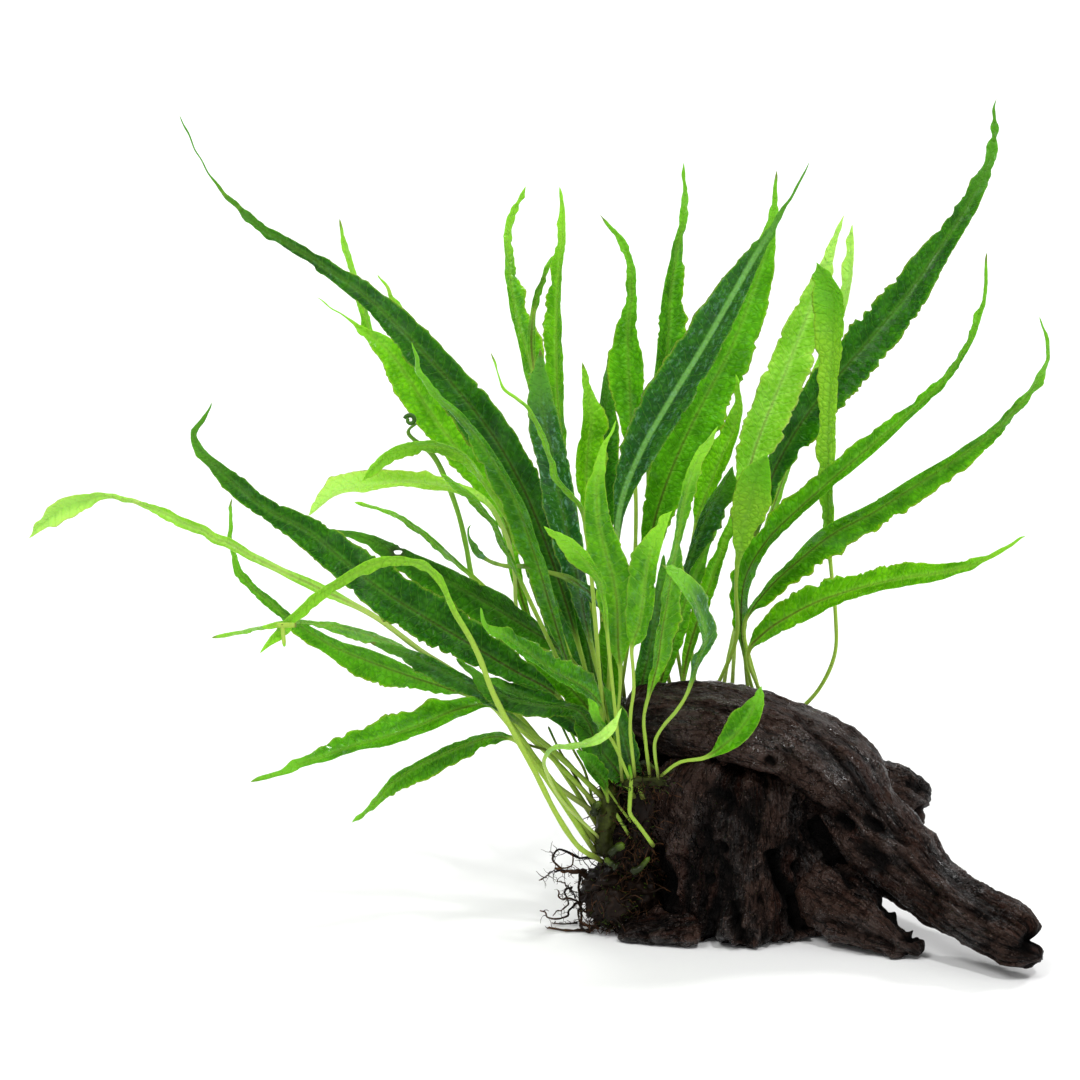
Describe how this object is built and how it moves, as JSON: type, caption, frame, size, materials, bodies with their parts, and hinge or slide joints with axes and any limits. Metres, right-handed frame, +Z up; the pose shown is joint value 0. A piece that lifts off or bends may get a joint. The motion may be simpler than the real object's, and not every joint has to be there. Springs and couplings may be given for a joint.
{
  "type": "java fern on driftwood",
  "caption": "Java fern with long narrow wavy-edged fronds growing from creeping stems on a dark branching piece of driftwood that stands on its flat foot.",
  "frame": {"origin": "middle of the flat foot on which the wood stands", "axes": "+X across the object towards the tip of the long limb, +Y away from the viewer, +Z up"},
  "size_m": [0.255, 0.1304, 0.2065],
  "materials": {
    "leaf_dark": "wet glossy leathery leaf, deep green, blistered between netted veins",
    "leaf_mid": "wet glossy leathery leaf, mid green, with a paler midrib",
    "leaf_bright": "wet satin young leaf, yellow green",
    "leaf_pale": "thin pale light green leaf, satin",
    "stem_green": "green-brown creeping stem, matte with small scales",
    "wet_wood": "near-black waterlogged driftwood, grooved along the grain, wet sheen on the ridges",
    "root_felt": "matte dark brown felt of fine roots with some green moss"
  },
  "bodies": {
    "root": {"frond_left_high_1": "leaf_dark", "frond_left_high_2": "leaf_bright", "frond_left_high_3": "leaf_mid", "frond_left_high_4": "leaf_bright", "frond_left_curl": "stem_green", "frond_left_arch": "leaf_bright", "frond_left_broad_yellow": "leaf_pale", "frond_left_tail": "leaf_bright", "frond_left_thin": "leaf_mid", "frond_low_broad_dark": "leaf_dark", "frond_low_holed": "leaf_dark", "frond_low_long_pale": "leaf_pale", "frond_low_threaded": "leaf_mid", "frond_low_wavy": "leaf_bright", "frond_low_short_dark": "leaf_dark", "frond_low_arching_young": "leaf_bright", "frond_low_outer_1": "leaf_mid", "frond_low_outer_2": "leaf_mid", "frond_low_narrow": "leaf_bright", "frond_low_front": "leaf_mid", "frond_low_twisted": "leaf_dark", "frond_middle_1": "leaf_bright", "frond_middle_2": "leaf_bright", "frond_middle_dark": "leaf_dark", "frond_middle_short": "leaf_bright", "frond_middle_tall": "leaf_mid", "frond_middle_hidden": "leaf_dark", "frond_middle_upright": "leaf_mid", "frond_right_broad": "leaf_mid", "frond_right_folded": "leaf_dark", "frond_right_short": "leaf_bright", "frond_right_shaded": "leaf_dark", "frond_right_pale": "leaf_pale", "frond_right_pale_hidden": "leaf_pale", "frond_right_hooked": "leaf_mid", "frond_right_long_dark": "leaf_dark", "frond_right_outer_1": "leaf_mid", "frond_right_outer_2": "leaf_mid", "frond_right_outer_3": "leaf_bright", "frond_right_bent": "leaf_mid", "frond_front_bright": "leaf_bright", "frond_front_forked": "leaf_bright", "frond_front_long": "leaf_bright", "frond_front_small": "leaf_bright", "frond_front_glossy": "leaf_mid", "frond_front_on_wood": "leaf_mid", "frond_front_curled": "leaf_pale", "frond_front_tiny": "leaf_mid", "frond_front_stubby": "leaf_dark", "driftwood_trunk": "wet_wood", "driftwood_top_slab": "wet_wood", "driftwood_long_limb": "wet_wood", "driftwood_short_limb": "wet_wood", "driftwood_back_plank": "wet_wood", "driftwood_left_foot": "wet_wood", "rhizome_left": "stem_green", "rhizome_back": "stem_green", "rhizome_front": "stem_green", "root_mass": "root_felt", "root_mat": "root_felt"}
  },
  "joints": []
}
